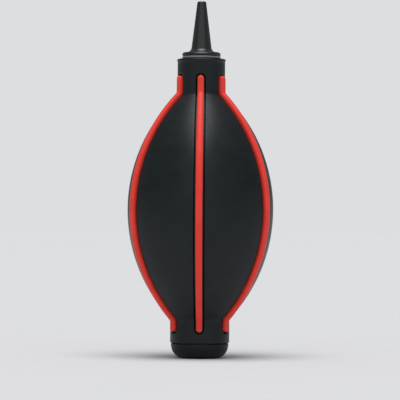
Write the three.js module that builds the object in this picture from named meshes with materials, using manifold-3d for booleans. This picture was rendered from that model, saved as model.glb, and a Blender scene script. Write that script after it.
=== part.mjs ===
// A hand-squeezed dust blower: a hollow silicone bulb with six proud ribs, a push-in nozzle
// above it and an intake cap below it. Millimetres, +Z up, the nozzle points to +Z.
// The origin is the centre of the cap's flat underside.

import * as THREE from 'three';
import { mergeVertices } from 'three/addons/utils/BufferGeometryUtils.js';
import Module from 'manifold-3d';

const wasm = await Module();
wasm.setup();

// ---------------------------------------------------------------- driving dimensions

// Clearances
const seam_gap = 0.3; // between pieces that meet face to face
const side_gap = 0.3; // round a piece that sits in a bore or a groove

// Bulb
const belly_radius = 33.7;
const belly_arc_radius = 74; // the meridian's arc, pole to pole
const bulb_wall = 2.8;
const lower_neck_radius = 13.7;
const lower_neck_height = 11.0;
const upper_neck_radius = 11.0;
const upper_neck_height = 16.5;
const lower_neck_wall = 3.0;
const upper_neck_wall = 2.9;
const neck_fillet = 3.0; // where a neck meets the belly
const lip_bulge = 0.25; // the neck's top edge swells a little
const lip_height = 1.6;
const corner_share = 0.042; // the section swells this much towards each rib at the belly
const corner_spread = 0.7; // how soon that swelling fades towards the necks

// Ribs
const rib_count = 6;
const rib_width_belly = 3.5;
const rib_width_neck = 3.1;
const rib_proud = 1.4;
const rib_depth = 1.2; // how far a rib is let into the bulb
const rib_slot_margin = 0.8; // open slot on each side of a rib
const rib_edge = 0.5; // chamfer along the crest
const rib_start_height = 5.3; // above the bulb's lower end
const rib_end_drop = 8.0; // below the bulb's upper end

// Intake cap
const cap_inset = 0.35; // its rim lies this far inside the neck's outside
const cap_corner = 6.5; // height of the rounding from the underside to the rim
const cap_corner_reach = 5.1; // how far that rounding reaches in from the rim
const cap_rim_height = 0.1; // straight rim above the rounding
const cap_wall = 1.8;
const cap_ring_wall = 1.2; // the ring inside, which plugs into the base insert
const cap_ring_reach = 2.7; // how far it plugs in
const intake_hole_count = 6;
const intake_hole_radius = 1.0;
const intake_hole_margin = 1.5; // between the holes and the ring inside

// Base insert, in the lower neck, and what it carries
const base_tube_wall = 1.8;
const base_collar_height = 1.1;
const base_collar_reach = 0.6; // past the neck's bore, under the bulb's end
const base_barb_reach = 0.9; // past the neck's bore, inside the belly
const base_barb_height = 2.0;
const base_tube_end = 0.3; // straight end above the barb
const base_seat_thickness = 1.4;
const base_port_count = 6;
const base_hub_radius = 3.5; // solid middle of the seat, inside its ports
const grille_thickness = 1.5;
const grille_hole_radius = 1.2;
const filter_thickness = 4.0;

// Neck insert, in the upper neck
const neck_tube_wall = 1.7;
const neck_barb_reach = 1.2;
const neck_barb_height = 1.8;
const neck_seat_thickness = 1.2;
const neck_port_count = 5;
const neck_hub_radius = 1.6; // solid middle of the seat, inside its ports
const neck_flange_overhang = 0.8; // past the neck's bore
const neck_flange_thickness = 0.9;
const neck_foot_depth = 5.6; // below the end of the upper neck's bore

// Valves
const valve_disc_thickness = 0.8;
const valve_lift = 1.2;
const valve_stop_gap = 0.35; // left between a lifted disc and its cage
const valve_cover = 1.0; // how far a disc reaches past its ports
const valve_side_gap = 1.15; // left round a disc for the air
const cage_height = 1.6;
const cage_ring_width = 1.3;
const cage_bar_width = 1.4;

// Nozzle
const nozzle_flange_radius = 8.9;
const nozzle_flange_height = 1.6;
const nozzle_flange_round = 1.1; // along the flange's upper edge
const nozzle_foot_radius = 5.5; // where the flange's top turns into the flare
const nozzle_flare_height = 2.4;
const nozzle_cone_base_radius = 4.6;
const nozzle_cone_length = 21.2;
const nozzle_tip_radius = 2.1;
const nozzle_tip_round = 0.7;
const nozzle_orifice_radius = 0.9;
const nozzle_orifice_length = 3.0;
const nozzle_wall = 1.7; // at the spigot's lower end
const spigot_length = 13.0;
const spigot_lead = 0.5; // chamfer at its lower end
const seal_thickness = 1.1; // the ring's own section
const seal_height = 6.0; // above the spigot's lower end

// Facets round each kind of piece
const bulb_facets = 36;
const case_facets = 32;
const inner_facets = 24;
const port_facets = 8;
const seal_facets = 6;

// ---------------------------------------------------------------- derived places

const cap_radius = lower_neck_radius - cap_inset;
const cap_height = cap_corner + cap_rim_height;
const bulb_bottom = cap_height + seam_gap;
const belly_arc_r = belly_radius - belly_arc_radius;
const lower_kink_z = bulb_bottom + lower_neck_height;
const belly_center_z = lower_kink_z + arc_rise(belly_arc_radius, lower_neck_radius);
const upper_kink_z = belly_center_z + arc_rise(belly_arc_radius, upper_neck_radius);
const bulb_top = upper_kink_z + upper_neck_height;

const lower_bore_radius = lower_neck_radius - lower_neck_wall;
const upper_bore_radius = upper_neck_radius - upper_neck_wall;
const cavity_arc_radius = belly_arc_radius - bulb_wall;
const lower_bore_end_z = belly_center_z - arc_rise(cavity_arc_radius, lower_bore_radius);
const upper_bore_end_z = belly_center_z + arc_rise(cavity_arc_radius, upper_bore_radius);

// Height from the belly's centre at which an arc about the belly's centre reaches a radius
function arc_rise(arc_radius, radius) {
  const across = radius - belly_arc_r;
  return Math.sqrt(arc_radius * arc_radius - across * across);
}

// ---------------------------------------------------------------- shape helpers

function point(r, z) {
  return new THREE.Vector2(r, z);
}

// Keeps only positions, so that shared corners can be merged into one closed skin
function skin(geometry) {
  const bare = geometry.clone();
  bare.deleteAttribute('normal');
  bare.deleteAttribute('uv');
  return mergeVertices(bare, 1e-5);
}

function to_solid(geometry) {
  const bare = skin(geometry);
  const mesh = new wasm.Mesh({
    numProp: 3,
    vertProperties: new Float32Array(bare.attributes.position.array),
    triVerts: new Uint32Array(bare.index.array),
  });
  return new wasm.Manifold(mesh);
}

function to_geometry(solid) {
  const mesh = solid.getMesh();
  const geometry = new THREE.BufferGeometry();
  geometry.setAttribute('position', new THREE.BufferAttribute(mesh.vertProperties, 3));
  geometry.setIndex(new THREE.BufferAttribute(mesh.triVerts, 1));
  return geometry;
}

function cut(geometry, cutters) {
  let solid = to_solid(geometry);
  for (const cutter of cutters) {
    solid = solid.subtract(to_solid(cutter));
  }
  return to_geometry(solid);
}

function join(geometries) {
  let solid = to_solid(geometries[0]);
  for (const geometry of geometries.slice(1)) {
    solid = solid.add(to_solid(geometry));
  }
  return to_geometry(solid);
}

// Turns an outline about the Z axis. It runs anticlockwise seen with the axis on its left, and it
// either starts and ends on the axis or is closed here into a loop.
function turned(outline, facets) {
  const on_axis = outline[0].x === 0 && outline[outline.length - 1].x === 0;
  const closed = on_axis ? outline : [...outline, outline[0].clone()];
  const geometry = new THREE.LatheGeometry(closed, facets);
  geometry.rotateX(Math.PI / 2);
  return skin(geometry);
}

// Points of a path, with its arcs and curves in steps of about the given length
function sampled(path, step) {
  const points = [];
  for (const curve of path.curves) {
    const straight = curve.isLineCurve === true;
    const steps = straight ? 1 : Math.max(3, Math.ceil(curve.getLength() / step));
    const part = curve.getPoints(steps);
    points.push(...(points.length > 0 ? part.slice(1) : part));
  }
  return points;
}

function plate(radius, bottom, height, facets) {
  return turned([point(0, bottom), point(radius, bottom), point(radius, bottom + height),
    point(0, bottom + height)], facets);
}

function ring(inner, outer, bottom, height, facets) {
  return turned([point(inner, bottom), point(outer, bottom), point(outer, bottom + height),
    point(inner, bottom + height)], facets);
}

// Upright pins on a circle, used to cut a ring of round holes
function pins_on_circle(count, pin_radius, circle_radius, bottom, top) {
  const pins = [];
  for (let i = 0; i < count; i += 1) {
    const angle = (2 * Math.PI * i) / count;
    const pin = new THREE.CylinderGeometry(pin_radius, pin_radius, top - bottom, port_facets);
    pin.rotateX(Math.PI / 2);
    pin.translate(circle_radius * Math.cos(angle), circle_radius * Math.sin(angle), (top + bottom) / 2);
    pins.push(pin);
  }
  return pins;
}

// Cutters for the round ports of a valve seat, between its solid middle and the disc's cover
function seat_ports(count, hub_radius, disc_radius, bottom, top) {
  const port_radius = (disc_radius - valve_cover - hub_radius) / 2;
  return pins_on_circle(count, port_radius, hub_radius + port_radius, bottom - seam_gap, top + seam_gap);
}

// ---------------------------------------------------------------- bulb and ribs

// Centre of the fillet that lies outside both the neck and the belly's arc
function fillet_center(neck_radius, side) {
  const r = neck_radius + neck_fillet;
  return point(r, belly_center_z + side * arc_rise(belly_arc_radius + neck_fillet, r));
}

// The bulb's outer meridian, from its lower end to just under the lip
function bulb_meridian() {
  const low = fillet_center(lower_neck_radius, -1);
  const high = fillet_center(upper_neck_radius, 1);
  const low_angle = Math.atan2(low.y - belly_center_z, low.x - belly_arc_r);
  const high_angle = Math.atan2(high.y - belly_center_z, high.x - belly_arc_r);
  const belly = point(belly_arc_r, belly_center_z);
  const path = new THREE.CurvePath();
  path.add(new THREE.LineCurve(point(lower_neck_radius, bulb_bottom), point(lower_neck_radius, low.y)));
  path.add(arc(low, neck_fillet, Math.PI, Math.PI + low_angle, true));
  path.add(arc(belly, belly_arc_radius, low_angle, high_angle, false));
  path.add(arc(high, neck_fillet, high_angle + Math.PI, Math.PI, true));
  path.add(new THREE.LineCurve(
    point(upper_neck_radius, high.y),
    point(upper_neck_radius, bulb_top - lip_height),
  ));
  return path;
}

function arc(center, radius, from, to, clockwise) {
  return new THREE.EllipseCurve(center.x, center.y, radius, radius, from, to, clockwise);
}

// How far the section swells towards a rib at a given height, as a share of the radius
function corner_swell(z) {
  const share = THREE.MathUtils.clamp((z - lower_kink_z) / (upper_kink_z - lower_kink_z), 0, 1);
  return corner_share * Math.pow(Math.sin(Math.PI * share), corner_spread);
}

// Rib number 0 faces -Y
function rib_angle(index) {
  return -Math.PI / 2 + (2 * Math.PI * index) / rib_count;
}

function swell_to_ribs(geometry) {
  const place = geometry.attributes.position;
  for (let i = 0; i < place.count; i += 1) {
    const angle = Math.atan2(place.getY(i), place.getX(i)) - rib_angle(0);
    const towards_rib = (1 + Math.cos(rib_count * angle)) / 2;
    const scale = 1 + corner_swell(place.getZ(i)) * towards_rib;
    place.setXY(i, place.getX(i) * scale, place.getY(i) * scale);
  }
  return geometry;
}

const meridian = bulb_meridian();
const meridian_length = meridian.getLength();
const rib_tip_steps = 2;
const rib_tip_start = Math.PI / 8; // the round end starts a little blunt
const rib_curve_steps = [1, 3, 9, 3, 1]; // along the neck, fillet, belly, fillet and neck
const rib_from = rib_start_height + rib_width_neck / 2;
const rib_to = meridian_length - (rib_end_drop - lip_height) - rib_width_neck / 2;
const rib_stops = stops_along_meridian();
const rib_steps = 2 * rib_tip_steps + rib_stops.length - 1;

// Distances along the meridian between the centres of the rib's round ends, closer at the fillets
function stops_along_meridian() {
  const ends = [0, ...meridian.getCurveLengths()];
  const stops = [rib_from];
  rib_curve_steps.forEach((steps, curve) => {
    for (let i = 1; i <= steps; i += 1) {
      const stop = THREE.MathUtils.lerp(ends[curve], ends[curve + 1], i / steps);
      if (stop > rib_from + seam_gap && stop < rib_to - seam_gap) {
        stops.push(stop);
      }
    }
  });
  stops.push(rib_to);
  return stops;
}

// Half the rib's width and the distance along the meridian at one of its steps.
// extra widens it on each side and lengthens it by as much at each end.
function rib_station(step, extra) {
  const neck_half = rib_width_neck / 2 + extra;
  const from_end = Math.min(step, rib_steps - step);
  if (from_end < rib_tip_steps) {
    const angle = THREE.MathUtils.lerp(rib_tip_start, Math.PI / 2, from_end / rib_tip_steps);
    const reach = neck_half * Math.cos(angle);
    const along = step < rib_tip_steps ? rib_from - reach : rib_to + reach;
    return { half: neck_half * Math.sin(angle), along };
  }
  const along = rib_stops[step - rib_tip_steps];
  const share = (along - rib_from) / (rib_to - rib_from);
  const swell = (rib_width_belly - rib_width_neck) / 2;
  return { half: neck_half + swell * Math.sin(Math.PI * share), along };
}

// A bar bent along the meridian at azimuth 0, between two heights above the bulb's surface
function meridian_bar(extra, bottom, top, edge) {
  const columns = edge > 0 ? 3 : 1;
  const bar = new THREE.BoxGeometry(2, 1, 2, columns, rib_steps, 1);
  const place = bar.attributes.position;
  for (let i = 0; i < place.count; i += 1) {
    const step = Math.round((place.getY(i) + 0.5) * rib_steps);
    const station = rib_station(step, extra);
    const at = meridian.getPoint(station.along / meridian_length);
    const tangent = meridian.getTangent(station.along / meridian_length);
    const outer_column = Math.abs(place.getX(i)) > 0.5;
    const at_tip = step === 0 || step === rib_steps;
    const half = outer_column ? station.half : Math.max(station.half - edge, station.half / 2);
    const crest = outer_column || at_tip ? top - edge : top;
    const lift = place.getZ(i) < 0 ? bottom : crest;
    const reach = at.x * (1 + corner_swell(at.y)) + lift * tangent.y;
    place.setXYZ(i, reach, Math.sign(place.getX(i)) * half, at.y - lift * tangent.x);
  }
  return skin(bar);
}

function bulb() {
  const outer = sampled(meridian, 9);
  const inner = new THREE.Path();
  const low_angle = Math.atan2(lower_bore_end_z - belly_center_z, lower_bore_radius - belly_arc_r);
  const high_angle = Math.atan2(upper_bore_end_z - belly_center_z, upper_bore_radius - belly_arc_r);
  inner.moveTo(upper_bore_radius, bulb_top);
  inner.lineTo(upper_bore_radius, upper_bore_end_z);
  inner.absarc(belly_arc_r, belly_center_z, cavity_arc_radius, high_angle, low_angle, true);
  inner.lineTo(lower_bore_radius, bulb_bottom);
  const lip = [
    point(upper_neck_radius + lip_bulge, bulb_top - lip_height / 2),
    point(upper_neck_radius + lip_bulge / 2, bulb_top - lip_height / 6),
    point(upper_neck_radius - lip_bulge, bulb_top),
  ];
  const body = swell_to_ribs(turned([...outer, ...lip, ...sampled(inner, 11)], bulb_facets));
  const slots = [];
  for (let i = 0; i < rib_count; i += 1) {
    const slot = meridian_bar(rib_slot_margin, -rib_depth - side_gap, 2 * rib_proud, 0);
    slots.push(slot.rotateZ(rib_angle(i)));
  }
  return cut(body, slots);
}

function rib(index) {
  return meridian_bar(0, -rib_depth, rib_proud, rib_edge).rotateZ(rib_angle(index));
}

// ---------------------------------------------------------------- intake end

const base_tube_radius = lower_bore_radius - side_gap;
const base_bore_radius = base_tube_radius - base_tube_wall;
const cap_floor_radius = cap_radius - cap_corner_reach;
const cap_inner_corner = cap_corner - cap_wall;
const cap_inner_reach = cap_corner_reach - cap_wall;
const base_tube_bottom = cap_inside_z(base_tube_radius + side_gap);
const cap_ring_top = base_tube_bottom + cap_ring_reach;
const grille_bottom = cap_ring_top + seam_gap;
const filter_bottom = grille_bottom + grille_thickness + seam_gap;
const base_seat_bottom = filter_bottom + filter_thickness + seam_gap;
const base_seat_top = base_seat_bottom + base_seat_thickness;
const inlet_disc_bottom = base_seat_top + seam_gap;
const inlet_cage_bottom = inlet_disc_bottom + valve_disc_thickness + valve_lift + valve_stop_gap;
const inlet_disc_radius = base_bore_radius - valve_side_gap;
const cap_ring_outer = base_bore_radius - side_gap;
const cap_ring_inner = cap_ring_outer - cap_ring_wall;
const intake_circle_radius = cap_ring_inner - intake_hole_margin - intake_hole_radius;
const base_barb_radius = lower_bore_radius + base_barb_reach;
const base_barb_bottom = belly_center_z - arc_rise(cavity_arc_radius, base_barb_radius + side_gap);
const base_barb_top = base_barb_bottom + base_barb_height;
const base_tube_top = Math.max(base_barb_top, inlet_cage_bottom + cage_height) + base_tube_end;

// Height of the cap's inner surface at a radius; under the rounding it is the floor's top
function cap_inside_z(radius) {
  const reach = THREE.MathUtils.clamp((radius - cap_floor_radius) / cap_inner_reach, 0, 1);
  return cap_corner - cap_inner_corner * Math.sqrt(1 - reach * reach);
}

function bottom_cap() {
  const outside = new THREE.Path();
  outside.moveTo(0, 0);
  outside.lineTo(cap_floor_radius, 0);
  outside.absellipse(cap_floor_radius, cap_corner, cap_corner_reach, cap_corner, -Math.PI / 2, 0, false);
  outside.lineTo(cap_radius, cap_height);
  outside.lineTo(cap_radius - cap_wall, cap_height);
  outside.lineTo(cap_radius - cap_wall, cap_corner);
  const ring_foot = Math.asin(Math.max(0, cap_ring_outer - cap_floor_radius) / cap_inner_reach);
  outside.absellipse(cap_floor_radius, cap_corner, cap_inner_reach, cap_inner_corner,
    0, ring_foot - Math.PI / 2, true);
  if (cap_ring_outer < cap_floor_radius) {
    outside.lineTo(cap_ring_outer, cap_wall);
  }
  outside.lineTo(cap_ring_outer, cap_ring_top);
  outside.lineTo(cap_ring_inner, cap_ring_top);
  outside.lineTo(cap_ring_inner, cap_wall);
  outside.lineTo(0, cap_wall);
  const dish = turned(sampled(outside, 2.6), case_facets);
  const holes = pins_on_circle(intake_hole_count, intake_hole_radius, intake_circle_radius,
    -seam_gap, cap_wall + seam_gap);
  return cut(dish, holes);
}

function base_insert() {
  const collar_radius = lower_bore_radius + base_collar_reach;
  const collar_top = cap_height;
  const collar_bottom = collar_top - base_collar_height;
  const body = turned([
    point(0, base_seat_bottom),
    point(base_bore_radius, base_seat_bottom),
    point(base_bore_radius, base_tube_bottom),
    point(base_tube_radius, base_tube_bottom),
    point(base_tube_radius, collar_bottom),
    point(collar_radius, collar_bottom),
    point(collar_radius, collar_top),
    point(base_tube_radius, collar_top),
    point(base_tube_radius, base_barb_bottom),
    point(base_barb_radius, base_barb_bottom),
    point(base_tube_radius, base_barb_top),
    point(base_tube_radius, base_tube_top),
    point(base_bore_radius, base_tube_top),
    point(base_bore_radius, base_seat_top),
    point(0, base_seat_top),
  ], inner_facets);
  return cut(body, seat_ports(base_port_count, base_hub_radius, inlet_disc_radius,
    base_seat_bottom, base_seat_top));
}

function filter_grille() {
  const disc = plate(base_bore_radius - side_gap, grille_bottom, grille_thickness, inner_facets);
  const top = grille_bottom + grille_thickness + seam_gap;
  const round_holes = pins_on_circle(intake_hole_count, grille_hole_radius, intake_circle_radius,
    grille_bottom - seam_gap, top);
  const middle_hole = pins_on_circle(1, grille_hole_radius, 0, grille_bottom - seam_gap, top);
  return cut(disc, [...round_holes, ...middle_hole]);
}

function intake_filter() {
  return plate(base_bore_radius - side_gap, filter_bottom, filter_thickness, inner_facets);
}

// ---------------------------------------------------------------- outlet end

const neck_tube_radius = upper_bore_radius - side_gap;
const neck_bore_radius = neck_tube_radius - neck_tube_wall;
const neck_tube_bottom = upper_bore_end_z - neck_foot_depth;
const neck_barb_radius = upper_bore_radius + neck_barb_reach;
const neck_barb_top = belly_center_z + arc_rise(cavity_arc_radius, neck_barb_radius + side_gap);
const neck_flange_bottom = bulb_top + seam_gap;
const neck_flange_top = neck_flange_bottom + neck_flange_thickness;
const neck_seat_top = neck_tube_bottom + neck_seat_thickness;
const outlet_disc_bottom = neck_seat_top + seam_gap;
const outlet_cage_bottom = outlet_disc_bottom + valve_disc_thickness + valve_lift + valve_stop_gap;
const outlet_disc_radius = neck_bore_radius - valve_side_gap;
const nozzle_bottom = neck_flange_top + seam_gap;
const spigot_bottom = nozzle_bottom - spigot_length;
const spigot_radius = neck_bore_radius - side_gap;
const seal_center_z = spigot_bottom + seal_height;

function neck_insert() {
  const flange_radius = upper_bore_radius + neck_flange_overhang;
  const body = turned([
    point(0, neck_tube_bottom),
    point(neck_tube_radius, neck_tube_bottom),
    point(neck_barb_radius, neck_barb_top - neck_barb_height / 2),
    point(neck_barb_radius, neck_barb_top),
    point(neck_tube_radius, neck_barb_top),
    point(neck_tube_radius, neck_flange_bottom),
    point(flange_radius, neck_flange_bottom),
    point(flange_radius, neck_flange_top),
    point(neck_bore_radius, neck_flange_top),
    point(neck_bore_radius, neck_seat_top),
    point(0, neck_seat_top),
  ], inner_facets);
  return cut(body, seat_ports(neck_port_count, neck_hub_radius, outlet_disc_radius,
    neck_tube_bottom, neck_seat_top));
}

// A thin disc that lies on its ports and lifts off them as air passes
function valve_disc(radius, bottom) {
  return plate(radius, bottom, valve_disc_thickness, inner_facets);
}

// A ring with a cross over it, which stops the disc when it has lifted
function valve_cage(bore_radius, bottom) {
  const outer = bore_radius - side_gap;
  const rim = ring(outer - cage_ring_width, outer, bottom, cage_height, inner_facets);
  const bar_length = 2 * (outer - cage_ring_width / 2);
  const bar = new THREE.BoxGeometry(bar_length, cage_bar_width, cage_height);
  bar.translate(0, 0, bottom + cage_height / 2);
  return join([rim, bar, bar.clone().rotateZ(Math.PI / 2)]);
}

function nozzle() {
  const flange_top = nozzle_bottom + nozzle_flange_height;
  const rim_top = flange_top - nozzle_flange_round;
  const cone_bottom = flange_top + nozzle_flare_height;
  const tip = cone_bottom + nozzle_cone_length;
  const groove_radius = spigot_radius - seal_thickness;
  const groove_half = seal_thickness / 2 + side_gap / 2;
  const outside = new THREE.Path();
  outside.moveTo(spigot_radius - nozzle_wall, spigot_bottom);
  outside.lineTo(spigot_radius - spigot_lead, spigot_bottom);
  outside.lineTo(spigot_radius, spigot_bottom + spigot_lead);
  outside.lineTo(spigot_radius, seal_center_z - groove_half);
  outside.lineTo(groove_radius, seal_center_z - groove_half);
  outside.lineTo(groove_radius, seal_center_z + groove_half);
  outside.lineTo(spigot_radius, seal_center_z + groove_half);
  outside.lineTo(spigot_radius, nozzle_bottom);
  outside.lineTo(nozzle_flange_radius, nozzle_bottom);
  outside.lineTo(nozzle_flange_radius, rim_top);
  outside.absarc(nozzle_flange_radius - nozzle_flange_round, rim_top, nozzle_flange_round,
    0, Math.PI / 2, false);
  outside.lineTo(nozzle_foot_radius, flange_top);
  outside.quadraticCurveTo(nozzle_cone_base_radius, flange_top,
    nozzle_cone_base_radius, cone_bottom);
  outside.lineTo(nozzle_tip_radius, tip - nozzle_tip_round);
  outside.absarc(nozzle_tip_radius - nozzle_tip_round, tip - nozzle_tip_round, nozzle_tip_round,
    0, Math.PI / 2, false);
  outside.lineTo(nozzle_orifice_radius, tip);
  outside.lineTo(nozzle_orifice_radius, tip - nozzle_orifice_length);
  return turned(sampled(outside, 1.8), case_facets);
}

// A soft ring in the spigot's groove
function nozzle_seal_ring() {
  const radius = (seal_thickness - side_gap) / 2;
  const center = spigot_radius - seal_thickness + side_gap / 2 + radius;
  const outline = [];
  for (let i = 0; i < seal_facets; i += 1) {
    const angle = (2 * Math.PI * i) / seal_facets;
    outline.push(point(center + radius * Math.cos(angle), seal_center_z + radius * Math.sin(angle)));
  }
  return turned(outline, inner_facets);
}

// ---------------------------------------------------------------- materials and assembly

function material(color, roughness) {
  return new THREE.MeshStandardMaterial({ color, roughness, metalness: 0 });
}

const black_silicone = material('#24282a', 0.6);
const red_silicone = material('#d93d2e', 0.55);
const nozzle_plastic = material('#2e3233', 0.4);
const cap_plastic = material('#1f2224', 0.45);
const insert_plastic = material('#3a3e40', 0.5);
const clear_silicone = material('#cfcac0', 0.5);
const seal_rubber = material('#1b1c1d', 0.6);
const filter_foam = material('#4a4d50', 0.95);

const blower = new THREE.Group();

function add(name, geometry, finish) {
  const mesh = new THREE.Mesh(geometry, finish.clone());
  mesh.name = name;
  blower.add(mesh);
}

add('bottom_cap', bottom_cap(), cap_plastic);
add('base_insert', base_insert(), insert_plastic);
add('filter_grille', filter_grille(), insert_plastic);
add('intake_filter', intake_filter(), filter_foam);
add('inlet_valve_disc', valve_disc(inlet_disc_radius, inlet_disc_bottom), clear_silicone);
add('inlet_valve_cage', valve_cage(base_bore_radius, inlet_cage_bottom), insert_plastic);
add('bulb', bulb(), black_silicone);
for (let i = 0; i < rib_count; i += 1) {
  add(`rib_${i + 1}`, rib(i), red_silicone);
}
add('neck_insert', neck_insert(), insert_plastic);
add('outlet_valve_disc', valve_disc(outlet_disc_radius, outlet_disc_bottom), clear_silicone);
add('outlet_valve_cage', valve_cage(neck_bore_radius, outlet_cage_bottom), insert_plastic);
add('nozzle', nozzle(), nozzle_plastic);
add('nozzle_seal_ring', nozzle_seal_ring(), seal_rubber);

export default blower;
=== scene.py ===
"""The looks of a hand-squeezed dust blower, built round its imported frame. Metres, +Z up."""

import collections
import math

import bpy
import numpy as np
from mathutils import Matrix, Vector


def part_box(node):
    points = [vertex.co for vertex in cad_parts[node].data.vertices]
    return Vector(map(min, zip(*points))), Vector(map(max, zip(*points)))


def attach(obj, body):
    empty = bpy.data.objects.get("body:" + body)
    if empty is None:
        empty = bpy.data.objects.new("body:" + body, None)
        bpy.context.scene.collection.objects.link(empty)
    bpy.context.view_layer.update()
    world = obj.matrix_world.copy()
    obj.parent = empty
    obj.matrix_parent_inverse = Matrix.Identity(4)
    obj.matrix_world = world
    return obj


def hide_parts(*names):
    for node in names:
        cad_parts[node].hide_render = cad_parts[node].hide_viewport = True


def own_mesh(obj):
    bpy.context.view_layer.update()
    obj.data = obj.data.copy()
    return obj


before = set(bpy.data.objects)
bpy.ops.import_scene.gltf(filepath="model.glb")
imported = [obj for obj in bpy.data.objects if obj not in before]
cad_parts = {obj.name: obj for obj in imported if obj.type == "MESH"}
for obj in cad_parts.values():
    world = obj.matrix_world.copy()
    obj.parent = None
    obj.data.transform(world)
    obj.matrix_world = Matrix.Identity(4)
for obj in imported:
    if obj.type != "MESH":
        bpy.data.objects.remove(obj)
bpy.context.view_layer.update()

bl_info = {
    "name": "Dust Blower",
    "version": (1, 0, 0),
    "blender": (4, 5, 0),
    "location": "View3D > Sidebar > Dust Blower",
    "description": "Builds a ribbed silicone dust blower round its packed frame",
    "category": "Add Mesh",
}

MM = 0.001
BULB_LOW, BULB_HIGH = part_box("bulb")
CAP_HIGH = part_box("bottom_cap")[1]
NOZZLE_LOW, NOZZLE_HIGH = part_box("nozzle")

RIB_COUNT = 6
BASE_HOLES = 6  # round the cap, the grille and the inlet valve's seat
NECK_HOLES = 5  # round the outlet valve's seat

ROW_SPACING = 1.9 * MM  # between rows of faces along the bulb and the ribs
ROW_CLEARANCE = 0.3 * MM  # the nearest that a row comes to the first or last one
FILLET_STEPS = 6  # rows over each fillet between a neck and the belly
PANEL_COLUMNS = 13  # columns of faces between two slots
RIB_END_STEPS = 16  # faces round each end of a rib

PIN_OVERRUN = 1.0 * MM  # how far a cutting pin stands out at both ends
PIN_TURN = 0.05  # radians; keeps a pin's edges off the edges of the piece that it cuts
CARVED_SHARP = 35  # degrees; a carved piece's edges are sharp above this
TURNED_SHARP = 40  # degrees; the same for the nozzle and the filter
ON_AXIS = 1e-7  # metres; a point of an outline this near to the axis is on it


def linear(hex_colour):
    """An sRGB hex colour as linear red, green, blue and alpha."""
    channels = [int(hex_colour[i : i + 2], 16) / 255 for i in (1, 3, 5)]
    return (*(c / 12.92 if c <= 0.04045 else ((c + 0.055) / 1.055) ** 2.4 for c in channels), 1.0)


def length(name, description, default):
    return bpy.props.FloatProperty(
        name=name,
        description=description,
        default=default,
        min=0,
        unit="LENGTH",
        subtype="DISTANCE",
    )


def angle(name, description, degrees):
    return bpy.props.FloatProperty(
        name=name,
        description=description,
        default=math.radians(degrees),
        min=0,
        unit="ROTATION",
        subtype="ANGLE",
    )


def share(name, description, default):
    return bpy.props.FloatProperty(
        name=name, description=description, default=default, min=0, max=1, subtype="FACTOR"
    )


def strength(name, description, default):
    return bpy.props.FloatProperty(name=name, description=description, default=default, min=0)


def colour(name, description, hex_colour):
    return bpy.props.FloatVectorProperty(
        name=name,
        description=description,
        default=linear(hex_colour),
        size=4,
        min=0,
        max=1,
        subtype="COLOR",
    )


# ---------------------------------------------------------------- sizes and colours


class BulbSizes(bpy.types.PropertyGroup):
    """Sizes of the silicone bulb."""

    belly_radius: length("Belly radius", "Half the belly's width between two ribs", 33.7 * MM)
    arc_radius: length("Belly arc", "Radius of the belly's outline from neck to neck", 74 * MM)
    wall: length("Wall", "Thickness of the belly's wall", 2.8 * MM)
    lower_neck: length("Lower neck radius", "Outside of the lower neck", 13.7 * MM)
    lower_bore: length("Lower bore radius", "Inside of the lower neck", 10.7 * MM)
    lower_height: length("Lower neck height", "From the lower end to the belly", 11.0 * MM)
    upper_neck: length("Upper neck radius", "Outside of the upper neck", 11.0 * MM)
    upper_bore: length("Upper bore radius", "Inside of the upper neck", 8.1 * MM)
    fillet: length("Neck fillet", "Rounding where a neck meets the belly", 3.0 * MM)
    end_round: length("End rounding", "Rounding of the bores' and the lower end's edges", 0.45 * MM)
    lip_bulge: length("Lip bulge", "How far the upper neck's edge swells", 0.25 * MM)
    lip_height: length("Lip height", "Height of the swollen edge", 1.6 * MM)
    corner: share("Corner swell", "How far the section swells towards the ribs", 0.042)
    corner_spread: share("Corner spread", "How soon the swell fades towards the necks", 0.7)


class RibSizes(bpy.types.PropertyGroup):
    """Sizes of the six ribs and their slots."""

    width_belly: length("Width at the belly", "Width of a rib halfway up", 3.2 * MM)
    width_neck: length("Width at the necks", "Width of a rib at its ends", 2.85 * MM)
    proud: length("Proud", "How far the crest stands out of the bulb", 1.65 * MM)
    depth: length("Depth", "How far a rib is let into the bulb", 1.2 * MM)
    slot_margin: length("Slot margin", "Open slot on each side of a rib", 0.8 * MM)
    slot_floor: length("Slot floor", "Gap under a rib", 0.3 * MM)
    edge: length("Edge", "Rounding along the crest", 1.0 * MM)
    foot_round: length("Foot rounding", "Rounding along a rib's underside", 0.1 * MM)
    start: length("Start", "From the bulb's lower end to a rib's tip", 5.3 * MM)
    end_drop: length("End drop", "From the bulb's upper end to a rib's tip", 8.0 * MM)


class NozzleSizes(bpy.types.PropertyGroup):
    """Sizes of the nozzle."""

    flange: length("Flange radius", "Outside of the flange", 8.9 * MM)
    flange_height: length("Flange height", "Thickness of the flange", 1.6 * MM)
    flange_round: length("Flange rounding", "Rounding of the flange's upper edge", 1.1 * MM)
    flare: length("Flare", "Radius of the hollow curve from the flange to the cone", 2.5 * MM)
    cone_base: length("Cone base", "Radius where the cone would meet the flange", 4.89 * MM)
    tip: length("Tip radius", "Radius just under the rounded tip", 2.1 * MM)
    tip_round: length("Tip rounding", "Rounding of the tip's edge", 0.7 * MM)
    orifice: length("Orifice radius", "Hole in the tip", 0.9 * MM)
    orifice_length: length("Orifice length", "Straight part of the hole", 3.0 * MM)
    spigot: length("Spigot radius", "The part that plugs into the neck", 5.8 * MM)
    spigot_length: length("Spigot length", "From the flange down", 13.0 * MM)
    spigot_wall: length("Spigot wall", "Wall at the spigot's lower end", 1.7 * MM)
    groove_depth: length("Groove depth", "Depth of the seal ring's groove", 1.1 * MM)
    groove_width: length("Groove width", "Width of the seal ring's groove", 1.4 * MM)
    groove_height: length("Groove height", "From the spigot's end to the groove's middle", 6.0 * MM)


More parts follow.
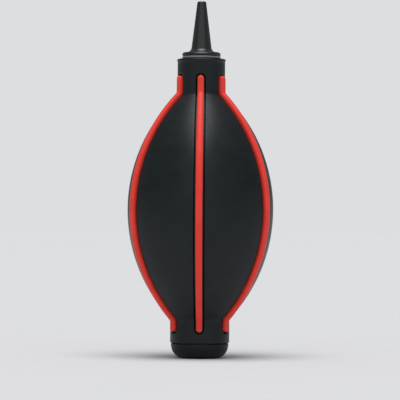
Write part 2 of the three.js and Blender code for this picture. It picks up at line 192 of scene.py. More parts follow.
class CapSizes(bpy.types.PropertyGroup):
    """Sizes of the intake cap."""

    corner: length("Corner height", "Height of the rounding from the underside", 6.5 * MM)
    corner_reach: length("Corner reach", "How far that rounding reaches in from the rim", 5.1 * MM)
    wall: length("Wall", "Thickness of the cap's wall and floor", 1.8 * MM)
    ring: length("Ring radius", "Outside of the ring that plugs into the base insert", 8.3 * MM)
    ring_wall: length("Ring wall", "Thickness of that ring", 1.2 * MM)
    ring_top: length("Ring top", "Height of that ring above the underside", 6.05 * MM)
    hole: length("Hole radius", "The six intake holes", 1.0 * MM)
    hole_circle: length("Hole circle", "Radius of the circle the intake holes lie on", 4.6 * MM)


class InsertSizes(bpy.types.PropertyGroup):
    """Sizes of the base insert, the neck insert and what they carry."""

    base_tube: length("Base tube radius", "Outside of the base insert's tube", 10.4 * MM)
    base_bore: length("Base bore radius", "Inside of the base insert's tube", 8.6 * MM)
    base_collar: length("Base collar radius", "The collar under the bulb's end", 11.3 * MM)
    base_collar_low: length("Collar underside", "Height of the collar's underside", 5.5 * MM)
    base_collar_high: length("Collar top", "Height of the collar's top", 6.6 * MM)
    base_barb: length("Base barb radius", "Outside of the barb inside the belly", 11.6 * MM)
    base_barb_height: length("Base barb height", "Height of that barb", 2.0 * MM)
    base_end: length("Base straight end", "Straight tube above that barb", 0.3 * MM)
    base_seat: length("Base seat height", "Height of the seat's underside", 12.45 * MM)
    base_seat_thickness: length("Base seat", "Thickness of the inlet valve's seat", 1.4 * MM)
    base_port: length("Base port radius", "The six ports in that seat", 1.475 * MM)
    base_port_circle: length("Base port circle", "Radius of the ports' circle", 4.975 * MM)
    grille_hole: length("Grille hole radius", "The seven holes of the filter's grille", 1.2 * MM)
    neck_tube: length("Neck tube radius", "Outside of the neck insert's tube", 7.8 * MM)
    neck_bore: length("Neck bore radius", "The socket that takes the nozzle", 6.1 * MM)
    neck_flange: length("Neck flange radius", "The flange over the bulb's lip", 8.9 * MM)
    neck_flange_thickness: length("Neck flange", "Thickness of that flange", 0.9 * MM)
    neck_barb: length("Neck barb radius", "Outside of the barb inside the belly", 9.3 * MM)
    neck_barb_top: length("Neck barb top", "From the insert's end to the barb's top", 4.16 * MM)
    neck_barb_height: length("Neck barb height", "Height of that barb", 1.8 * MM)
    neck_seat: length("Neck seat", "Thickness of the outlet valve's seat", 1.2 * MM)
    neck_port: length("Neck port radius", "The five ports in that seat", 1.175 * MM)
    neck_port_circle: length("Neck port circle", "Radius of the ports' circle", 2.775 * MM)
    cage_ring: length("Cage ring", "Width of a valve cage's ring", 1.3 * MM)
    cage_bar: length("Cage bar", "Width of a valve cage's bars", 1.4 * MM)


class SqueezeShape(bpy.types.PropertyGroup):
    """How the bulb gives when its sides are pressed in."""

    keep: share("Kept width", "Share of the belly's width left when it is squeezed", 0.5)
    widen: share("Widening", "How much wider the belly grows the other way", 0.1)
    grip: length("Grip", "Half the height over which the sides give", 50 * MM)
    rise: length("Rise", "How far the upper neck rises", 3.0 * MM)


class Finishes(bpy.types.PropertyGroup):
    """Colours of the blower's materials."""

    bulb: colour("Bulb", "Black moulded silicone", "#0A1214")
    bulb_light: colour("Bulb, paler", "Paler clouds in the black silicone", "#0E171A")
    rib: colour("Ribs", "Red moulded silicone", "#EC4237")
    rib_deep: colour("Ribs, deeper", "Deeper clouds in the red silicone", "#E43B30")
    nozzle: colour("Nozzle", "Charcoal ABS", "#090D0E")
    cap: colour("Cap", "Black ABS", "#111416")
    insert: colour("Inserts", "Grey polypropylene", "#787D7F")
    valve: colour("Valve discs", "Unpigmented silicone", "#CFCAC0")
    seal: colour("Seal ring", "Black nitrile rubber", "#141516")
    foam: colour("Filter", "Grey polyurethane foam", "#54585B")
    paper: colour("Floor", "Pale backdrop paper", "#DDDCDE")


class StageSettings(bpy.types.PropertyGroup):
    """The backdrop, the two softboxes and the camera."""

    backdrop: colour("Backdrop", "Paper that rises behind the blower", "#DDDEE0")
    room: colour("Room", "Light that comes back from the room", "#E4EAEC")
    room_strength: strength("Room strength", "How strong the room's light is", 0.35)
    ceiling_strength: strength("Ceiling strength", "How strong the ceiling softbox is", 2.3)
    ceiling_spread: angle("Ceiling spread", "How wide the ceiling softbox looks", 46)
    ceiling_tilt: angle("Ceiling tilt", "How far the ceiling softbox leans to the front", 14)
    front_strength: strength("Front strength", "How strong the front softbox is", 0.75)
    front_spread: angle("Front spread", "How wide the front softbox looks", 100)
    front_tilt: angle("Front tilt", "How far the front softbox leans from overhead", 85)
    distance: length("Distance", "From the blower's axis to the camera", 1.27)
    view_width: length("View width", "Width that the picture takes in at the axis", 185.4 * MM)
    height: length("Height", "Height of the camera", 66 * MM)
    azimuth: angle("Azimuth", "How far the camera stands to the right", 1.2)
    roll: angle("Roll", "How far the camera leans", 0.37)
    aim: bpy.props.FloatVectorProperty(
        name="Aim",
        description="The point that the camera looks at",
        default=(-0.25 * MM, 0, 73 * MM),
        size=3,
        unit="LENGTH",
        subtype="TRANSLATION",
    )


# ---------------------------------------------------------------- meshes


def mesh_piece(name, solid, finish, body, node, sharp=None):
    """A smooth-shaded piece of (points, faces) that rides on a body and stands for a CAD node.

    With sharp, edges over that many degrees stay sharp.
    """
    points, faces = solid
    mesh = bpy.data.meshes.new(name)
    mesh.from_pydata([tuple(p) for p in points], [], faces)
    mesh.validate()
    mesh.materials.append(finishes()[finish])
    piece = bpy.data.objects.new(name, mesh)
    bpy.context.scene.collection.objects.link(piece)
    mesh.shade_smooth()
    if sharp is not None:
        mesh.set_sharp_from_angle(angle=math.radians(sharp))
    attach(piece, body)
    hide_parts(node)
    return piece


def rounded(corners, steps=5):
    """An open outline through corners of (radius, height, rounding), each rounding an arc."""
    outline = []
    for i, (r, z, rounding) in enumerate(corners):
        here = Vector((r, z))
        if rounding <= 0 or i in (0, len(corners) - 1):
            outline.append(here)
            continue
        before = (Vector(corners[i - 1][:2]) - here).normalized()
        after = (Vector(corners[i + 1][:2]) - here).normalized()
        half = before.angle(after) / 2
        middle = (before + after).normalized()
        centre = here + middle * (rounding / math.sin(half))
        start = here + before * (rounding / math.tan(half)) - centre
        turn = start.angle_signed(here + after * (rounding / math.tan(half)) - centre)
        for k in range(steps + 1):
            outline.append(centre + Matrix.Rotation(-turn * k / steps, 2) @ start)
    return outline


def turned(outline, closed, segments=96):
    """Points and faces of an outline turned about Z. It is a closed loop, or ends on the axis."""
    points, rings = [], []
    for r, z in outline:
        if r < ON_AXIS:
            rings.append([len(points)] * segments)
            points.append((0, 0, z))
            continue
        rings.append(list(range(len(points), len(points) + segments)))
        for k in range(segments):
            azimuth = 2 * math.pi * k / segments
            points.append((r * math.cos(azimuth), r * math.sin(azimuth), z))
    faces = []
    for low, high in zip(rings, rings[1:] + rings[:1] if closed else rings[1:]):
        for k in range(segments):
            corners = (low[k], low[(k + 1) % segments], high[(k + 1) % segments], high[k])
            face = list(dict.fromkeys(corners))
            if len(face) > 2:
                faces.append(face)
    return points, faces


def disc(low, high, edge, steps):
    """Points and faces of a disc that fills a box, with its edges rounded."""
    corners = [(0, low.z, 0), (high.x, low.z, edge), (high.x, high.z, edge), (0, high.z, 0)]
    return turned(rounded(corners, steps), closed=False)


def carve(piece, operation, solids):
    """Takes closed solids of (points, faces) away from a piece, or joins them to it."""
    for points, faces in solids:
        mesh = bpy.data.meshes.new("tool")
        mesh.from_pydata([tuple(p) for p in points], [], faces)
        tool = bpy.data.objects.new("tool", mesh)
        bpy.context.scene.collection.objects.link(tool)
        shape = piece.modifiers.new("shape", "BOOLEAN")
        shape.operation, shape.solver, shape.object = operation, "EXACT", tool
        carved = piece.evaluated_get(bpy.context.evaluated_depsgraph_get())
        whole = bpy.data.meshes.new_from_object(carved)
        piece.modifiers.clear()
        piece.data = whole
        bpy.data.objects.remove(tool)
        bpy.data.meshes.remove(mesh)
    piece.data.shade_smooth()
    piece.data.set_sharp_from_angle(angle=math.radians(CARVED_SHARP))


def pins(count, circle, radius, low, high):
    """Upright round pins on a circle, which cut a ring of holes between two heights."""
    low, high = low - PIN_OVERRUN, high + PIN_OVERRUN
    outline = [(0, low), (radius, low), (radius, high), (0, high)]
    points, faces = turned(outline, closed=False, segments=32)
    turn = Matrix.Rotation(PIN_TURN, 3, "Z")
    points = [turn @ Vector(point) for point in points]
    places = [2 * math.pi * k / count for k in range(count)]
    offsets = [Vector((circle * math.cos(a), circle * math.sin(a), 0)) for a in places]
    return [([point + offset for point in points], faces) for offset in offsets]


def bar(length_x, length_y, low, high):
    """A square bar across the axis."""
    x, y = length_x / 2, length_y / 2
    square = ((-x, -y), (x, -y), (x, y), (-x, y))
    sides = [(k, (k + 1) % 4, (k + 1) % 4 + 4, k + 4) for k in range(4)]
    return [(*corner, z) for z in (low, high) for corner in square], [
        (3, 2, 1, 0),
        (4, 5, 6, 7),
        *sides,
    ]


# ---------------------------------------------------------------- the bulb's outline


class Meridian:
    """The bulb's outline at one azimuth, by distance from the lower end.

    It runs up the lower neck, a fillet, the belly's arc, a fillet and the upper neck.
    """

    def __init__(self, sizes):
        self.sizes = sizes
        self.bottom, self.top = BULB_LOW.z, BULB_HIGH.z
        self.arc_r = sizes.belly_radius - sizes.arc_radius
        self.low_kink = self.bottom + sizes.lower_height
        self.centre = self.low_kink + self.rise(sizes.arc_radius, sizes.lower_neck)
        self.high_kink = self.centre + self.rise(sizes.arc_radius, sizes.upper_neck)
        low_r = sizes.lower_neck + sizes.fillet
        high_r = sizes.upper_neck + sizes.fillet
        low_z = self.centre - self.rise(sizes.arc_radius + sizes.fillet, low_r)
        high_z = self.centre + self.rise(sizes.arc_radius + sizes.fillet, high_r)
        low_angle = math.atan2(low_z - self.centre, low_r - self.arc_r)
        high_angle = math.atan2(high_z - self.centre, high_r - self.arc_r)
        # A line has a radius and two heights; an arc has a centre, a radius and two angles.
        self.parts = [
            ("line", sizes.lower_neck, self.bottom, low_z),
            ("arc", low_r, low_z, sizes.fillet, math.pi, math.pi + low_angle),
            ("arc", self.arc_r, self.centre, sizes.arc_radius, low_angle, high_angle),
            ("arc", high_r, high_z, sizes.fillet, math.pi + high_angle, math.pi),
            ("line", sizes.upper_neck, high_z, self.top - sizes.lip_height),
        ]
        lengths = [
            abs(part[3] - part[2]) if part[0] == "line" else abs(part[5] - part[4]) * part[3]
            for part in self.parts
        ]
        self.ends = np.concatenate([[0], np.cumsum(lengths)])
        self.length = self.ends[-1]

    def rise(self, arc_radius, radius):
        """Height from the belly's centre at which an arc about that centre reaches a radius."""
        return math.sqrt(arc_radius**2 - (radius - self.arc_r) ** 2)

    def at(self, along):
        """Radius, height and outward normal at a distance along the outline."""
        k = np.searchsorted(self.ends, along, side="right") - 1
        k = int(np.clip(k, 0, len(self.parts) - 1))
        part = self.parts[k]
        inside = (along - self.ends[k]) / (self.ends[k + 1] - self.ends[k])
        if part[0] == "line":
            return part[1], part[2] + (part[3] - part[2]) * inside, 1.0, 0.0
        angle_here = part[4] + (part[5] - part[4]) * inside
        r = part[1] + part[3] * math.cos(angle_here)
        z = part[2] + part[3] * math.sin(angle_here)
        outward = 1 if k == 2 else -1
        return r, z, outward * math.cos(angle_here), outward * math.sin(angle_here)

    def swell(self, z):
        """How far the section swells towards a rib, as a share of the radius."""
        height = min(max((z - self.low_kink) / (self.high_kink - self.low_kink), 0), 1)
        return self.sizes.corner * math.sin(math.pi * height) ** self.sizes.corner_spread

    def stops(self, start, end):
        """Distances from start to end, closer together at the fillets."""
        found = [start]
        for k, (near, far) in enumerate(zip(self.ends, self.ends[1:])):
            steps = FILLET_STEPS if k in (1, 3) else max(1, round((far - near) / ROW_SPACING))
            for i in range(1, steps + 1):
                stop = near + (far - near) * i / steps
                if start + ROW_CLEARANCE < stop < end - ROW_CLEARANCE:
                    found.append(stop)
        return found + [end]


def rib_azimuth(index):
    """Azimuth of a rib; the first faces -Y."""
    return -math.pi / 2 + 2 * math.pi * index / RIB_COUNT


def rib_span(meridian, ribs):
    """Distances along the outline of the centres of a rib's two round ends."""
    start = ribs.start + ribs.width_neck / 2
    end = meridian.length - (ribs.end_drop - meridian.sizes.lip_height) - ribs.width_neck / 2
    return start, end


def rib_half_width(along, span, ribs):
    """Half a crest's width between its round ends."""
    part = min(max((along - span[0]) / (span[1] - span[0]), 0), 1)
    more = (ribs.width_belly - ribs.width_neck) / 2
    return ribs.width_neck / 2 + more * math.sin(math.pi * part)


# ---------------------------------------------------------------- the bulb

# Columns beside a rib's middle, as shares of the slot's half width, with the slot's depth at each
SLOT_SECTION = (
    (0.0, 1.0),
    (0.35, 1.0),
    (0.7, 1.0),
    (0.88, 1.0),
    (0.95, 0.97),
    (0.985, 0.85),
    (1.0, 0.5),
    (1.012, 0.17),
    (1.04, 0.05),
    (1.09, 0.0),
    (1.3, 0.0),
)
SLOT_REACH = SLOT_SECTION[-1][0]
SLOT_SQUARING = 1.12  # where the faces round a slot's end start to turn square again
# The lip's outline going up: shares of its bulge past the neck, and of its height under the top
LIP_SECTION = (
    (0.5, 0.8),
    (0.9, 0.6),
    (1.0, 0.42),
    (0.8, 0.25),
    (0.2, 0.1),
    (-0.8, 0.02),
    (-2.5, 0.0),
)
CAVITY_ROWS = 24


def slot_depth(reach):
    """The slot's depth at a distance from its middle line, both as shares."""
    places, depths = zip(*SLOT_SECTION)
    return float(np.interp(reach, places, depths))


def round_end(across, along):
    """Bends a square lattice so that its lines follow a slot's round end.

    Outside the slot the lines turn square again, to meet the faces round them.
    """
    reach = max(abs(across), along)
    if reach == 0:
        return across, along
    stretch = reach / math.hypot(across, along)
    blend = min(max((reach - SLOT_SQUARING) / (SLOT_REACH - SLOT_SQUARING), 0), 1)
    blend = blend * blend * (3 - 2 * blend)
    scale = stretch + (1 - stretch) * blend
    return across * scale, along * scale


def bulb_rows(meridian, ribs):
    """Rows of the outer skin: (distance along, place in the slot's round end or None)."""
    span = rib_span(meridian, ribs)
    reach = SLOT_REACH * (ribs.width_neck / 2 + ribs.slot_margin)
    low_neck = np.linspace(meridian.sizes.end_round, span[0] - reach, 4)[:-1]
    high_neck = np.linspace(span[1] + reach, meridian.length, 6)[1:]
    places = [place for place, _ in SLOT_SECTION]
    rows = [(along, None) for along in low_neck]
    rows += [(span[0], -place) for place in reversed(places)]
    rows += [(along, None) for along in meridian.stops(*span)[1:-1]]
    rows += [(span[1], place) for place in places]
    rows += [(along, None) for along in high_neck]
    return rows


def bulb_mesh(sizes, ribs):
    """Points and faces of the bulb: a skin with six slots, a lip, two bores and the hollow."""
    meridian = Meridian(sizes)
    span = rib_span(meridian, ribs)
    places = [place for place, _ in SLOT_SECTION]
    near = [-place for place in reversed(places[1:])] + places
    sector = 2 * math.pi / RIB_COUNT
    depth = ribs.depth + ribs.slot_floor
    points = []

    def put(r, z, nr, nz, turn, rib, sink, swell):
        """One point, sunk below the skin and swollen towards the nearest rib."""
        towards = (1 + math.cos(RIB_COUNT * turn)) / 2 if swell else 0
        out = r * (1 + meridian.swell(z) * towards) - sink * nr
        azimuth = rib_azimuth(rib) + turn
        points.append((out * math.cos(azimuth), out * math.sin(azimuth), z - sink * nz))

    def plain_ring(r, z, swell):
        """One ring of points off the outer skin."""
        half = ribs.width_neck / 2 + ribs.slot_margin
        edge = SLOT_REACH * half / r
        for rib in range(RIB_COUNT):
            for across in near:
                put(r, z, 1, 0, across * half / r, rib, 0.0, swell)
            for k in range(1, PANEL_COLUMNS):
                put(r, z, 1, 0, edge + (sector - 2 * edge) * k / PANEL_COLUMNS, rib, 0.0, swell)

    def skin_ring(along, end_place):
        """One ring of points on the outer skin, where the slots sink into it."""
        half = rib_half_width(along, span, ribs) + ribs.slot_margin
        in_slot = end_place is not None or span[0] <= along <= span[1]
        for rib in range(RIB_COUNT):
            for place in near:
                across, shift = place, 0.0
                if end_place is not None:
                    across, shift = round_end(place, abs(end_place))
                    shift = math.copysign(shift, end_place) * half
                r, z, nr, nz = meridian.at(along + shift)
                reach = max(abs(place), abs(end_place or 0.0))
                sink = depth * slot_depth(reach) if in_slot else 0.0
                put(r, z, nr, nz, across * half / r, rib, sink, True)
            r, z, nr, nz = meridian.at(along + (end_place or 0.0) * half)
            edge = SLOT_REACH * half / r
            for k in range(1, PANEL_COLUMNS):
                turn = edge + (sector - 2 * edge) * k / PANEL_COLUMNS
                put(r, z, nr, nz, turn, rib, 0.0, True)

    edge, bottom, top = sizes.end_round, meridian.bottom, meridian.top
    lower_end = [
        (sizes.lower_bore, bottom + edge),
        (sizes.lower_bore + 0.3 * edge, bottom + 0.3 * edge),
        (sizes.lower_bore + edge, bottom),
        (sizes.lower_neck - edge, bottom),
        (sizes.lower_neck - 0.6 * edge, bottom + 0.08 * edge),
        (sizes.lower_neck - 0.2 * edge, bottom + 0.4 * edge),
    ]
    rows = bulb_rows(meridian, ribs)
    upper_end = [
        (sizes.upper_neck + bulge * sizes.lip_bulge, top - drop * sizes.lip_height)
        for bulge, drop in LIP_SECTION
    ]
    upper_end += [
        (sizes.upper_bore + edge, top),
        (sizes.upper_bore + 0.3 * edge, top - 0.3 * edge),
        (sizes.upper_bore, top - edge),
    ]
    cavity = sizes.arc_radius - sizes.wall
    high, low = (
        math.atan2(meridian.rise(cavity, bore), bore - meridian.arc_r)
        for bore in (sizes.upper_bore, sizes.lower_bore)
    )
    inside = [
        (meridian.arc_r + cavity * math.cos(a), meridian.centre + cavity * math.sin(a))
        for a in np.linspace(high, -low, CAVITY_ROWS)
    ]
    for r, z in lower_end:
        plain_ring(r, z, False)
    for along, end_place in rows:
        skin_ring(along, end_place)
    for r, z in upper_end:
        plain_ring(r, z, False)
    for r, z in inside:
        plain_ring(r, z, True)
    count = len(lower_end) + len(rows) + len(upper_end) + len(inside)
    width = len(points) // count
    faces = []
    for row in range(count):
        a, b = row * width, ((row + 1) % count) * width
        for k in range(width):
            faces.append((a + k, a + (k + 1) % width, b + (k + 1) % width, b + k))
    return points, faces


# ---------------------------------------------------------------- the ribs

# Rows that crown the crest: how far in from a rib's side, and how far above the edge's rounding
CREST_ROWS = ((1.1 * MM, 0.05 * MM), (1.35 * MM, 0.07 * MM))
CREST_CROWN = 0.1 * MM  # the edge's rounding ends this far below the crest's full height
FOOT_ROWS = (1.0 * MM, 0.6 * MM)  # rows under a rib: how far in from its side
EDGE_ROWS = 9  # rows over the edge's rounding


def rib_section(ribs):
    """A rib's half section, from under its middle round its side to its crest: (inset, lift)."""
    floor, crest = -ribs.depth, ribs.proud - CREST_CROWN
    section = [(inset, floor) for inset in (*FOOT_ROWS, ribs.foot_round)]
    section += [(0.0, floor + ribs.foot_round), (0.0, crest - ribs.edge)]
    section += [
        (ribs.edge * (1 - math.cos(a)), crest - ribs.edge + ribs.edge * math.sin(a))
        for a in np.linspace(0, math.pi / 2, EDGE_ROWS)[1:]
    ]
    return section + [(inset, crest + lift) for inset, lift in CREST_ROWS]


def rib_mesh(sizes, ribs, index):
    """Points and faces of one rib: a strip in its slot with rounded edges and round ends."""
    meridian = Meridian(sizes)
    span = rib_span(meridian, ribs)
    stops = meridian.stops(*span)
    x, y = math.cos(rib_azimuth(index)), math.sin(rib_azimuth(index))
    end_angles = [math.pi * k / RIB_END_STEPS for k in range(1, RIB_END_STEPS)]
    points = []

    def put(across, along, lift):
        r, z, nr, nz = meridian.at(along)
        out = r * (1 + meridian.swell(z)) + lift * nr
        points.append((out * x - across * y, out * y + across * x, z + lift * nz))

    section = rib_section(ribs)
    for inset, lift in section:
        end = ribs.width_neck / 2 - inset
        for stop in stops:
            put(rib_half_width(stop, span, ribs) - inset, stop, lift)
        for a in end_angles:
            put(end * math.cos(a), span[1] + end * math.sin(a), lift)
        for stop in reversed(stops):
            put(inset - rib_half_width(stop, span, ribs), stop, lift)
        for a in end_angles:
            put(-end * math.cos(a), span[0] - end * math.sin(a), lift)
    width = len(points) // len(section)
    faces = [tuple(reversed(face)) for face in rib_fill(0, len(stops))]
    for row in range(len(section) - 1):
        a, b = row * width, (row + 1) * width
        for k in range(width):
            faces.append((a + k, a + (k + 1) % width, b + (k + 1) % width, b + k))
    return points, faces + rib_fill((len(section) - 1) * width, len(stops))


def rib_fill(base, stops):
    """Faces across the inside of a rib's loop of points, side to side and into its round ends."""
    arc = RIB_END_STEPS - 1
    right = [base + k for k in range(stops)]
    far = [base + stops + k for k in range(arc)]
    left = [base + stops + arc + k for k in range(stops)]
    near = [base + 2 * stops + arc + k for k in range(arc)]
    faces = [(right[k], right[k + 1], left[-k - 2], left[-k - 1]) for k in range(stops - 1)]
    for chain in ((right[-1], *far, left[0]), (left[-1], *near, right[0])):
        middle = len(chain) // 2
        for k in range(middle - 1):
            faces.append((chain[k], chain[k + 1], chain[-k - 2], chain[-k - 1]))
        faces.append((chain[middle - 1], chain[middle], chain[middle + 1]))
    return faces


# ---------------------------------------------------------------- nodes


def add(tree, kind, inputs=None, **settings):
    """Adds one node with its settings.

    An input takes a value, another node's output, or a node, which stands for its first output.
    """
    node = tree.nodes.new(kind)
    for name, value in settings.items():
        setattr(node, name, value)
    for name, value in (inputs or {}).items():
        if isinstance(value, bpy.types.Node):
            value = value.outputs[0]
        if isinstance(value, bpy.types.NodeSocket):
            tree.links.new(value, node.inputs[name])
        else:
            node.inputs[name].default_value = value
    return node


# ---------------------------------------------------------------- the squeeze


def squeeze_tree(shape, middle):
    """Geometry nodes that turn the frame's plain flattening into the bulb's own give.

    It is pressed in at the belly, wider the other way, unchanged at the lower neck and risen at
    the upper one.
    """
    tree = bpy.data.node_groups.new("squeeze_shape", "GeometryNodeTree")
    for end in ("INPUT", "OUTPUT"):
        tree.interface.new_socket("Geometry", in_out=end, socket_type="NodeSocketGeometry")
    source = add(tree, "NodeGroupInput")
    now = add(tree, "GeometryNodeInputPosition")
    rest = add(
        tree,
        "GeometryNodeInputNamedAttribute",
        {"Name": "rest_place"},
        data_type="FLOAT_VECTOR",
    )
    widths = []
    for place in (now, rest):
        across = add(tree, "ShaderNodeSeparateXYZ", {0: place})
        half = add(tree, "ShaderNodeMath", {0: across}, operation="ABSOLUTE")
        widest = add(
            tree, "GeometryNodeAttributeStatistic", {"Geometry": source, "Attribute": half}
        )
        widths.append(widest.outputs["Max"])

    # How far the squeeze has gone, from 0 at rest to 1
    kept = add(tree, "ShaderNodeMath", {0: widths[0], 1: widths[1]}, operation="DIVIDE")
    pressed = add(
        tree,
        "ShaderNodeMapRange",
        {"Value": kept, "From Min": 1.0, "From Max": shape.keep},
        clamp=False,
    )

    # How much the sides give at each height: 1 at the belly's middle, 0 beyond the grip
    x, y, z = add(tree, "ShaderNodeSeparateXYZ", {0: rest}).outputs
    height = add(
        tree,
        "ShaderNodeMapRange",
        {"Value": z, "From Min": middle, "From Max": middle + shape.grip},
        clamp=False,
    )
    fall = add(tree, "ShaderNodeMath", {0: height, 1: height}, operation="MULTIPLY")
    near = add(tree, "ShaderNodeMath", {0: 1.0, 1: fall}, operation="SUBTRACT", use_clamp=True)
    window = add(tree, "ShaderNodeMath", {0: near, 1: near}, operation="MULTIPLY")
    give = add(tree, "ShaderNodeMath", {0: pressed, 1: window}, operation="MULTIPLY")

    narrow = add(
        tree,
        "ShaderNodeMapRange",
        {"Value": give, "To Min": 1.0, "To Max": shape.keep},
        clamp=False,
    )
    wide = add(
        tree,
        "ShaderNodeMapRange",
        {"Value": give, "To Min": 1.0, "To Max": 1 + shape.widen},
        clamp=False,
    )
    climb = add(
        tree,
        "ShaderNodeMapRange",
        {"Value": height, "From Min": -1.0, "From Max": 1.0, "To Min": 0.0, "To Max": shape.rise},
        interpolation_type="SMOOTHSTEP",
    )
    across = add(tree, "ShaderNodeMath", {0: x, 1: narrow}, operation="MULTIPLY")
    along = add(tree, "ShaderNodeMath", {0: y, 1: wide}, operation="MULTIPLY")
    lift = add(tree, "ShaderNodeMath", {0: climb, 1: pressed}, operation="MULTIPLY")
    up = add(tree, "ShaderNodeMath", {0: z, 1: lift}, operation="ADD")
    moved = add(tree, "ShaderNodeCombineXYZ", {0: across, 1: along, 2: up})
    placed = add(tree, "GeometryNodeSetPosition", {"Geometry": source, "Position": moved})
    add(tree, "NodeGroupOutput", {0: placed})
    return tree


def give_squeeze(piece, shape, middle):
    """Makes a piece give with the squeeze joint."""
    mesh = piece.data
    places = np.empty(len(mesh.vertices) * 3, np.float32)
    mesh.vertices.foreach_get("co", places)
    rest = mesh.attributes.new("rest_place", "FLOAT_VECTOR", "POINT")
    rest.data.foreach_set("vector", places)
    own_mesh(piece)
    tree = bpy.data.node_groups.get("squeeze_shape") or squeeze_tree(shape, middle)
    piece.modifiers.new("squeeze_shape", "NODES").node_group = tree


# ---------------------------------------------------------------- materials

# What a mould leaves on its pieces. The pigment's clouds, the patches of gloss and the grain each
# have a size and a detail. The roughness strays either way, and the grain has a relief.
MouldSkin = collections.namedtuple("MouldSkin", "clouds patches grain stray strength relief")
# Spark erosion leaves a grain of about 0.05 mm, which is drawn at 0.35 mm so that it shows.
SPARK_ERODED = MouldSkin(
    clouds=(9 * MM, 3.0),
    patches=(3.5 * MM, 4.0),
    grain=(0.35 * MM, 2.0),
    stray=0.05,
    strength=0.22,
    relief=0.03 * MM,
)
# Fine blasting leaves a texture of about 0.1 mm, which is drawn at 0.4 mm so that it shows.
FINE_BLASTED = MouldSkin(
    clouds=(6 * MM, 2.0),
    patches=(2.0 * MM, 3.0),
    grain=(0.4 * MM, 1.0),
    stray=0.04,
    strength=0.15,
    relief=0.02 * MM,
)
CLOUD_EDGES = {"From Min": 0.35, "From Max": 0.65}
PATCH_EDGES = {"From Min": 0.3, "From Max": 0.7}
FOAM_EDGES = {"From Min": 0.05, "From Max": 0.3}

SILICONE_IOR = 1.41
NITRILE_IOR = 1.52
ABS_IOR = 1.54
POLYPROPYLENE_IOR = 1.49
SHEEN_ROUGHNESS = 0.35
PLASTIC_CLOUD = 1.18  # how much paler the clouds in a moulded plastic are
FOAM_CELL = 0.7 * MM  # the real size, in a foam of about 36 pores to the inch
FOAM_PORE_PAINTED_SHADE = 0.25  # painted shade: share of the foam's colour left in a pore, darker for the shade inside it
FOAM_RELIEF = -0.2 * MM  # pores go in


def new_material(name):
    """A material that holds one Principled shader, with its tree and the shader."""
    material = bpy.data.materials.new(name)
    material.use_nodes = True
    tree = material.node_tree
    tree.nodes.clear()
    shader = add(tree, "ShaderNodeBsdfPrincipled")
    add(tree, "ShaderNodeOutputMaterial", {"Surface": shader})
    return material, tree, shader


def toned(tone, factor):
    """A linear colour made paler or deeper."""
    return tuple(min(channel * factor, 1.0) for channel in tone[:3]) + (1.0,)


def moulded(name, skin, base, cloud, roughness, ior, specular, sheen=0.0):
    """A moulded rubber or plastic: clouded pigment, uneven gloss and the mould's grain."""
    _, tree, shader = new_material(name)
    place = add(tree, "ShaderNodeTexCoord").outputs["Object"]
    pigment, patches, grain = (
        add(tree, "ShaderNodeTexNoise", {"Vector": place, "Scale": 1 / size, "Detail": detail})
        for size, detail in (skin.clouds, skin.patches, skin.grain)
    )
    clouds = add(tree, "ShaderNodeMapRange", {"Value": pigment, **CLOUD_EDGES})
    colours = {"Factor": clouds, 6: tuple(base), 7: tuple(cloud)}
    tint = add(tree, "ShaderNodeMix", colours, data_type="RGBA")
    tree.links.new(tint.outputs[2], shader.inputs["Base Color"])
    spread = {"To Min": roughness - skin.stray, "To Max": roughness + skin.stray}
    gloss = add(tree, "ShaderNodeMapRange", {"Value": patches, **PATCH_EDGES, **spread})
    tree.links.new(gloss.outputs[0], shader.inputs["Roughness"])
    relief = {"Height": grain, "Strength": skin.strength, "Distance": skin.relief}
    tree.links.new(add(tree, "ShaderNodeBump", relief).outputs[0], shader.inputs["Normal"])
    shader.inputs["IOR"].default_value = ior
    shader.inputs["Specular IOR Level"].default_value = specular
    shader.inputs["Sheen Weight"].default_value = sheen
    shader.inputs["Sheen Roughness"].default_value = SHEEN_ROUGHNESS


def open_foam(name, base):
    """A foam whose cells were cut open: a dull lattice, its pores darkened with painted shade."""
    _, tree, shader = new_material(name)
    place = add(tree, "ShaderNodeTexCoord").outputs["Object"]
    cells = add(
        tree,
        "ShaderNodeTexVoronoi",
        {"Vector": place, "Scale": 1 / FOAM_CELL},
        feature="DISTANCE_TO_EDGE",
    )
    edge = cells.outputs["Distance"]
    # Painted shade: away from the cell edges each pore takes a darker colour for the shade in its
    # hole; the same mask sinks the pores
    pore_shade_and_depth = add(tree, "ShaderNodeMapRange", {"Value": edge, **FOAM_EDGES})
    colours = {"Factor": pore_shade_and_depth, 6: tuple(base), 7: toned(base, FOAM_PORE_PAINTED_SHADE)}
    tint = add(tree, "ShaderNodeMix", colours, data_type="RGBA")
    tree.links.new(tint.outputs[2], shader.inputs["Base Color"])
    relief = {"Height": pore_shade_and_depth, "Strength": 0.8, "Distance": FOAM_RELIEF}
    tree.links.new(add(tree, "ShaderNodeBump", relief).outputs[0], shader.inputs["Normal"])
    shader.inputs["Roughness"].default_value = 0.95


